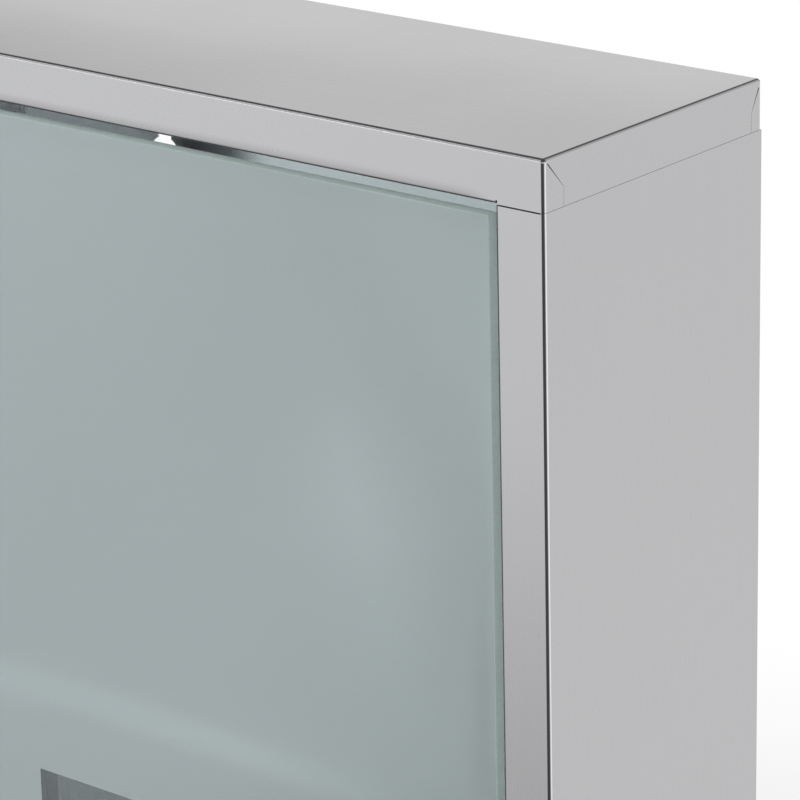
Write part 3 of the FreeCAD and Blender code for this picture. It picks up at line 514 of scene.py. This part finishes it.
def frosted_glass():
    """Milky glass with a fine speckle, and painted shade towards the lock side at mid height."""
    finish = bpy.context.scene.cabinet_finish
    material, tree, shader, output = new_material("frosted_glass")
    fine, patchy = speckled(tree, 2200)
    colour = varied(tree, fine, finish.frost_colour, 0.93, 1.06)
    # Painted shade towards the lock side at mid height
    half = (GLASS_HIGH - GLASS_LOW) / 2
    x, _, z = axes(tree, object_vector(tree, centre=GLASS_LOW + half))
    from_edge = math_node(tree, "SUBTRACT", half.x, x)
    from_end = math_node(tree, "SUBTRACT", half.z, math_node(tree, "ABSOLUTE", z))
    shade = product(tree, remap(tree, from_edge, (0, 0.13), (1, 0), smooth=True),
                    remap(tree, from_end, (0.05, 0.20), (0.10, 0.40)))
    tree.links.new(mix_colour(tree, shade, colour, finish.frost_shade), shader.inputs["Base Color"])
    tree.links.new(remap(tree, patchy, NOISE_SPAN, (0.30, 0.36)), shader.inputs["Roughness"])
    shader.inputs["Transmission Weight"].default_value = 0.4
    shader.inputs["IOR"].default_value = 1.45
    bump(tree, shader, fine, 0.12, 0.0001)
    milky = tree.nodes.new("ShaderNodeBsdfTranslucent")
    tree.links.new(mix_colour(tree, shade, finish.frost_colour, finish.frost_shade),
                   milky.inputs["Color"])
    both = tree.nodes.new("ShaderNodeMixShader")
    both.inputs["Fac"].default_value = 0.35
    tree.links.new(shader.outputs["BSDF"], both.inputs[1])
    tree.links.new(milky.outputs["BSDF"], both.inputs[2])
    let_shadows_through(tree, both.outputs["Shader"], output, 0.9)
    return material


def clear_glass():
    """Clear float glass with faint smears."""
    finish = bpy.context.scene.cabinet_finish
    material, tree, shader, output = new_material("clear_glass")
    _, patchy = speckled(tree, 700)
    colour = mix_colour(tree, remap(tree, patchy, (0.35, 0.65), (0, 1)),
                        finish.clear_colour, scaled(finish.clear_colour, 0.98))
    tree.links.new(colour, shader.inputs["Base Color"])
    tree.links.new(remap(tree, patchy, (0.35, 0.7), (0.01, 0.04)), shader.inputs["Roughness"])
    shader.inputs["Transmission Weight"].default_value = 1.0
    shader.inputs["IOR"].default_value = 1.5
    let_shadows_through(tree, shader.outputs["BSDF"], output, 0.95)
    return material


def ground_edge():
    """Green, finely ground edge of the glass."""
    finish = bpy.context.scene.cabinet_finish
    material, tree, shader, output = new_material("ground_edge")
    fine, _ = speckled(tree, 1500)
    tree.links.new(varied(tree, fine, finish.edge_colour, 0.9, 1.1), shader.inputs["Base Color"])
    tree.links.new(remap(tree, fine, NOISE_SPAN, (0.34, 0.46)), shader.inputs["Roughness"])
    shader.inputs["Transmission Weight"].default_value = 0.65
    shader.inputs["IOR"].default_value = 1.5
    bump(tree, shader, fine, 0.1, 0.0001)
    let_shadows_through(tree, shader.outputs["BSDF"], output, 0.8)
    return material


def plated_metal(name, colour, rough, speckle_scale, bump_strength):
    """Chrome or zinc plate with a faint speckle and cloudy roughness."""
    material, tree, shader, _ = new_material(name)
    fine, patchy = speckled(tree, speckle_scale)
    tree.links.new(varied(tree, patchy, colour, 0.9, 1.0), shader.inputs["Base Color"])
    tree.links.new(remap(tree, patchy, NOISE_SPAN, (rough * 0.75, rough * 1.25)),
                   shader.inputs["Roughness"])
    shader.inputs["Metallic"].default_value = 1.0
    bump(tree, shader, fine, bump_strength, 0.00005)
    return material


def moulded(name, colour, rough, sub=0.0, bump_strength=0.15):
    """Matt moulded plastic or sintered ferrite with a fine texture."""
    material, tree, shader, _ = new_material(name)
    fine, _ = speckled(tree, 2600)
    tree.links.new(varied(tree, fine, colour, 0.85, 1.15), shader.inputs["Base Color"])
    tree.links.new(remap(tree, fine, NOISE_SPAN, (rough - 0.06, rough + 0.06)),
                   shader.inputs["Roughness"])
    shader.inputs["Subsurface Weight"].default_value = sub
    shader.inputs["Subsurface Scale"].default_value = 0.001
    bump(tree, shader, fine, bump_strength, 0.00008)
    return material


# Mesh helpers

def deselect_all():
    """Clear the selection."""
    for thing in bpy.context.selected_objects:
        thing.select_set(False)


def only(thing):
    """Select one object alone and make it active."""
    deselect_all()
    thing.select_set(True)
    bpy.context.view_layer.objects.active = thing


def add_block(name, low, high):
    """Cube primitive at its size and place, with its place in its mesh."""
    deselect_all()
    low, high = Vector(low), Vector(high)
    bpy.ops.mesh.primitive_cube_add(size=1, location=(low + high) / 2)
    block = bpy.context.object
    block.name = name
    block.scale = high - low
    bpy.ops.object.transform_apply(location=True, rotation=True, scale=True)
    return block


def add_rod(name, centre, radius, depth, axis, sides=64):
    """Cylinder primitive along an axis, with its place in its mesh."""
    deselect_all()
    turn = {"X": (0, math.pi / 2, 0), "Y": (math.pi / 2, 0, 0), "Z": (0, 0, 0)}[axis]
    bpy.ops.mesh.primitive_cylinder_add(
        vertices=sides, radius=radius, depth=depth, location=centre, rotation=turn)
    rod = bpy.context.object
    rod.name = name
    bpy.ops.object.transform_apply(location=True, rotation=True, scale=True)
    return rod


def boolean(target, tool, operation):
    """Apply a boolean with a tool object, and delete the tool."""
    only(target)
    cut = target.modifiers.new("cut", "BOOLEAN")
    cut.operation = operation
    cut.solver = "EXACT"
    cut.object = tool
    bpy.ops.object.modifier_apply(modifier=cut.name)
    bpy.data.objects.remove(tool)


def bevel_all(target, width, segments, angle):
    """Bevel every edge that is sharper than an angle."""
    only(target)
    rounding = target.modifiers.new("arris", "BEVEL")
    rounding.width = width
    rounding.segments = segments
    rounding.limit_method = "ANGLE"
    rounding.angle_limit = angle
    bpy.ops.object.modifier_apply(modifier=rounding.name)


def smooth(target, degrees=35):
    """Shade smooth, with edges sharper than an angle left hard."""
    only(target)
    bpy.ops.object.shade_smooth_by_angle(angle=math.radians(degrees))


def assign(nodes, material):
    """Give CAD nodes a material in every slot."""
    for name in nodes:
        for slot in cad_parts[name].material_slots:
            slot.material = material


# Operators

class CABINET_OT_steel(Operator):
    """Give the folded sheet pieces their satin polish, with painted shade and highlights on bends,
    seams and lid, and painted light on shelves and back
    """

    bl_idname = "cabinet.steel"
    bl_label = "Finish the sheet steel"

    def execute(self, context):
        satin_grain_group()
        painted_bend_shading_group()
        seam_shade_group()
        assign(("top_lid",), satin_steel("satin_steel_lid", GRAIN_ACROSS, paint_lid_shading=True))
        assign(ACROSS_NODES, satin_steel("satin_steel_across", GRAIN_ACROSS))
        # Shelves in a lighter copy of the steel, as painted light on their lips
        assign(SHELF_NODES, satin_steel("shelf_steel_painted_light", GRAIN_ACROSS, tone=1.6))
        assign(UPRIGHT_NODES, satin_steel("satin_steel_upright", GRAIN_UPRIGHT, seams=True))
        assign(("back_panel",), satin_steel("back_polish_and_painted_light", GRAIN_UPRIGHT, front_polish_and_painted_light=True))
        return {"FINISHED"}


class CABINET_OT_fittings(Operator):
    """Give the hinges, lock, catch and small parts their finishes"""

    bl_idname = "cabinet.fittings"
    bl_label = "Finish the fittings"

    def execute(self, context):
        speckle_group()
        assign(CHROME_NODES, plated_metal("satin_chrome", (0.72, 0.72, 0.73), 0.16, 900, 0.05))
        assign(ZINC_NODES, plated_metal("zinc_plate", (0.58, 0.60, 0.63), 0.34, 1400, 0.12))
        assign(PAD_NODES, moulded("clear_pad", (0.74, 0.76, 0.75), 0.4, sub=0.3))
        assign(NYLON_NODES, moulded("black_nylon", (0.03, 0.03, 0.033), 0.5))
        assign(FERRITE_NODES, moulded("ferrite", (0.07, 0.07, 0.073), 0.75, bump_strength=0.4))
        return {"FINISHED"}


class CABINET_OT_pane(Operator):
    """Model the glass door pane with its frosted face, clear field and ground edges"""

    bl_idname = "cabinet.pane"
    bl_label = "Model the door pane"

    def execute(self, context):
        sizes = context.scene.cabinet_pane
        pane = add_block("door_pane", GLASS_LOW, GLASS_HIGH)
        bevel_all(pane, sizes.arris, 2, math.radians(30))
        lock = (BARREL_LOW + BARREL_HIGH) / 2
        hole = add_rod("lock_hole", (lock.x, GLASS_LOW.y, lock.z), sizes.hole_radius,
                       PANE_CUTTER, "Y")
        boolean(pane, hole, "DIFFERENCE")
        middle = (GLASS_LOW + GLASS_HIGH) / 2
        only(pane)
        bpy.ops.object.mode_set(mode="EDIT")
        for width in (sizes.field_width, sizes.cross_span, sizes.cross_arm):
            for side in (-1, 1):
                for along in (Vector((1, 0, 0)), Vector((0, 0, 1))):
                    bpy.ops.mesh.select_all(action="SELECT")
                    bpy.ops.mesh.bisect(plane_co=middle + along * side * width / 2, plane_no=along)
        bpy.ops.object.mode_set(mode="OBJECT")
        for material in (frosted_glass(), clear_glass(), ground_edge()):
            pane.data.materials.append(material)
        for face in pane.data.polygons:
            face.material_index = self.part_of(face, middle, sizes)
        smooth(pane)
        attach(pane, "door")
        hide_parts("door_glass", "frosted_film", "cross_film")
        return {"FINISHED"}

    @staticmethod
    def part_of(face, middle, sizes):
        """Material slot of a face of the pane."""
        if abs(face.normal.y) < 0.99:
            return GROUND
        if face.normal.y > 0:
            return CLEAR
        off = face.center - middle
        across, up = abs(off.x), abs(off.z)
        half = sizes.field_width / 2
        if across > half or up > half:
            return FROSTED
        arm, span = sizes.cross_arm / 2, sizes.cross_span / 2
        on_cross = (across < arm and up < span) or (up < arm and across < span)
        return FROSTED if on_cross else CLEAR


class CABINET_OT_key(Operator):
    """Model the flat key with its round bow and cut blade"""

    bl_idname = "cabinet.key"
    bl_label = "Model the key"

    def execute(self, context):
        sizes = context.scene.cabinet_key
        middle = (KEY_LOW + KEY_HIGH) / 2
        bow_y = KEY_LOW.y + sizes.bow_radius
        key = add_rod("lock_key", (middle.x, bow_y, middle.z), sizes.bow_radius, sizes.thick, "X", 96)
        blade = add_block(
            "blade",
            (middle.x - sizes.blade_thick / 2, bow_y, middle.z - BLADE_HALF),
            (middle.x + sizes.blade_thick / 2, KEY_HIGH.y, middle.z + BLADE_HALF))
        boolean(key, blade, "UNION")
        ring = add_rod("ring_hole", (middle.x, bow_y - RING_OFFSET, middle.z), sizes.bow_hole,
                       KEY_CUTTER, "X", 48)
        boolean(key, ring, "DIFFERENCE")
        for step, depth in enumerate(TOOTH_DEPTHS):
            tooth_y = KEY_HIGH.y - TOOTH_START - step * TOOTH_PITCH
            notch = add_rod("notch", (middle.x, tooth_y, middle.z - BLADE_HALF), depth,
                            KEY_CUTTER, "X", 4)
            boolean(key, notch, "DIFFERENCE")
        bevel_all(key, KEY_ROUNDING, 2, math.radians(50))
        key.data.materials.append(plated_metal("key_nickel", (0.70, 0.69, 0.66), 0.24, 1200, 0.1))
        smooth(key)
        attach(key, "key")
        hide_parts("door_key")
        return {"FINISHED"}


class CABINET_OT_stage(Operator):
    """Set up the camera, the surroundings, the lights and the floor"""

    bl_idname = "cabinet.stage"
    bl_label = "Set up the stage"

    def execute(self, context):
        stage = context.scene.cabinet_stage
        context.scene.view_settings.view_transform = "Standard"
        self.camera(context, stage)
        self.surroundings(context, stage)
        for name, place, size, power in LAMPS:
            self.lamp(name, place, size, power)
        self.floor(stage)
        return {"FINISHED"}

    @staticmethod
    def camera(context, stage):
        """Camera at the photograph's viewing angle."""
        data = bpy.data.cameras.new("photo_camera")
        data.lens = stage.lens
        data.sensor_width = SENSOR_WIDTH
        data.clip_start = 0.01
        camera = bpy.data.objects.new("photo_camera", data)
        camera.location = stage.camera_place
        camera.rotation_euler = Euler(stage.camera_turn)
        context.scene.collection.objects.link(camera)
        context.scene.camera = camera

    @staticmethod
    def surroundings(context, stage):
        """White to the camera; a soft studio to reflections, dimmer overhead and straight in front."""
        world = bpy.data.worlds.new("studio")
        world.use_nodes = True
        context.scene.world = world
        tree = world.node_tree
        tree.nodes.clear()
        output = tree.nodes.new("ShaderNodeOutputWorld")
        background = tree.nodes.new("ShaderNodeBackground")
        tree.links.new(background.outputs["Background"], output.inputs["Surface"])
        direction = tree.nodes.new("ShaderNodeTexCoord").outputs["Generated"]
        _, y, z = axes(tree, direction)
        high = remap(tree, z, (0.15, 0.65), (1.0, 0.5), smooth=True)
        ahead = remap(tree, y, (-0.97, -0.86), (0.62, 1.0), smooth=True)
        panel = tree.nodes.new("ShaderNodeVectorMath")
        panel.operation = "DOT_PRODUCT"
        panel.inputs[1].default_value = (-0.64, -0.77, 0)
        tree.links.new(direction, panel.inputs[0])
        left = remap(tree, panel.outputs["Value"], (0.5, 0.95), (1.0, 1.1), smooth=True)
        seen = product(tree, high, ahead, left)
        path = tree.nodes.new("ShaderNodeLightPath")
        outside = remap(tree, y, (-0.5, 0.0), (0.8, 1.0), smooth=True)
        straight = math_node(tree, "MAXIMUM", path.outputs["Is Camera Ray"],
                             product(tree, path.outputs["Is Transmission Ray"], outside))
        glossy = path.outputs["Is Glossy Ray"]
        matt = math_node(tree, "SUBTRACT", 1.0, math_node(tree, "MAXIMUM", straight, glossy))
        unseen = math_node(tree, "ADD", product(tree, glossy, seen),
                           product(tree, matt, stage.world_level))
        level = math_node(tree, "ADD", straight, unseen)
        tree.links.new(level, background.inputs["Strength"])
        background.inputs["Color"].default_value = (1, 1, 1, 1)

    @staticmethod
    def lamp(name, place, size, power):
        """Round soft lamp that points at the cabinet's middle."""
        data = bpy.data.lights.new(name, "AREA")
        data.shape = "DISK"
        data.size = size
        data.energy = power
        lamp = bpy.data.objects.new(name, data)
        lamp.location = place
        aim = CABINET_CENTRE - Vector(place)
        lamp.rotation_euler = aim.to_track_quat("-Z", "Y").to_euler()
        bpy.context.scene.collection.objects.link(lamp)

    @staticmethod
    def floor(stage):
        """Pale floor with the shadow; it fades to white, and shows as white in metal and glass save
        for painted shade near the front of the cabinet.
        """
        deselect_all()
        bpy.ops.mesh.primitive_circle_add(
            vertices=96, radius=stage.floor_radius, fill_type="NGON",
            location=FLOOR_CENTRE - Vector((0, 0, FLOOR_DROP)))
        floor = bpy.context.object
        floor.name = "studio_floor"
        bpy.ops.object.transform_apply(location=True, rotation=True, scale=True)
        material, tree, shader, output = new_material("pale_floor")
        shader.inputs["Base Color"].default_value = (0.9, 0.9, 0.9, 1)
        shader.inputs["Roughness"].default_value = 0.9
        glow = tree.nodes.new("ShaderNodeEmission")
        mix = tree.nodes.new("ShaderNodeMixShader")
        path = tree.nodes.new("ShaderNodeLightPath")
        away = tree.nodes.new("ShaderNodeVectorMath")
        away.operation = "LENGTH"
        place = object_vector(tree, centre=FLOOR_CENTRE)
        tree.links.new(place, away.inputs[0])
        rim = remap(tree, away.outputs["Value"], (0.45, 1.1), (0.35, 1.0), smooth=True)
        mirrored = math_node(tree, "MAXIMUM", path.outputs["Is Glossy Ray"],
                             path.outputs["Is Transmission Ray"])
        seen = math_node(tree, "MAXIMUM", mirrored,
                         product(tree, rim, path.outputs["Is Camera Ray"]))
        tree.links.new(seen, mix.inputs["Fac"])
        # Painted shade in reflections: the floor glows dimmer near the front of the cabinet
        _, y, _ = axes(tree, place)
        ahead = remap(tree, y, (-0.35, 0.1), (0, 1), smooth=True)
        near = remap(tree, away.outputs["Value"], (0.8, 1.45), (0.66, 1.0), smooth=True)
        reflected_glow_with_painted_shade = math_node(tree, "MAXIMUM", near, ahead)
        level = math_node(tree, "MAXIMUM", path.outputs["Is Camera Ray"], reflected_glow_with_painted_shade)
        tree.links.new(level, glow.inputs["Strength"])
        tree.links.new(shader.outputs["BSDF"], mix.inputs[1])
        tree.links.new(glow.outputs["Emission"], mix.inputs[2])
        tree.links.new(mix.outputs["Shader"], output.inputs["Surface"])
        floor.data.materials.append(material)


class CABINET_PT_sidebar(Panel):
    """Lists the cabinet's settings and steps"""

    bl_idname = "CABINET_PT_sidebar"
    bl_label = "Steel medicine cabinet"
    bl_space_type = "VIEW_3D"
    bl_region_type = "UI"
    bl_category = "Cabinet"

    def draw(self, context):
        for group in ("cabinet_finish", "cabinet_pane", "cabinet_key", "cabinet_stage"):
            box = self.layout.box()
            settings = getattr(context.scene, group)
            for name in settings.__annotations__:
                box.prop(settings, name)
        for step in STEPS:
            self.layout.operator(step.bl_idname)


GROUPS = {
    "cabinet_finish": CabinetFinish,
    "cabinet_pane": DoorPane,
    "cabinet_key": LockKey,
    "cabinet_stage": StudioStage,
}
STEPS = (
    CABINET_OT_steel, CABINET_OT_fittings, CABINET_OT_pane, CABINET_OT_key, CABINET_OT_stage,
)


def register():
    for name, group in GROUPS.items():
        bpy.utils.register_class(group)
        setattr(bpy.types.Scene, name, PointerProperty(type=group))
    for step in STEPS:
        bpy.utils.register_class(step)
    bpy.utils.register_class(CABINET_PT_sidebar)


def unregister():
    bpy.utils.unregister_class(CABINET_PT_sidebar)
    for step in reversed(STEPS):
        bpy.utils.unregister_class(step)
    for name, group in reversed(GROUPS.items()):
        delattr(bpy.types.Scene, name)
        bpy.utils.unregister_class(group)


def main():
    register()
    bpy.ops.cabinet.steel()
    bpy.ops.cabinet.fittings()
    bpy.ops.cabinet.pane()
    bpy.ops.cabinet.key()
    bpy.ops.cabinet.stage()


if __name__ == "__main__":
    main()
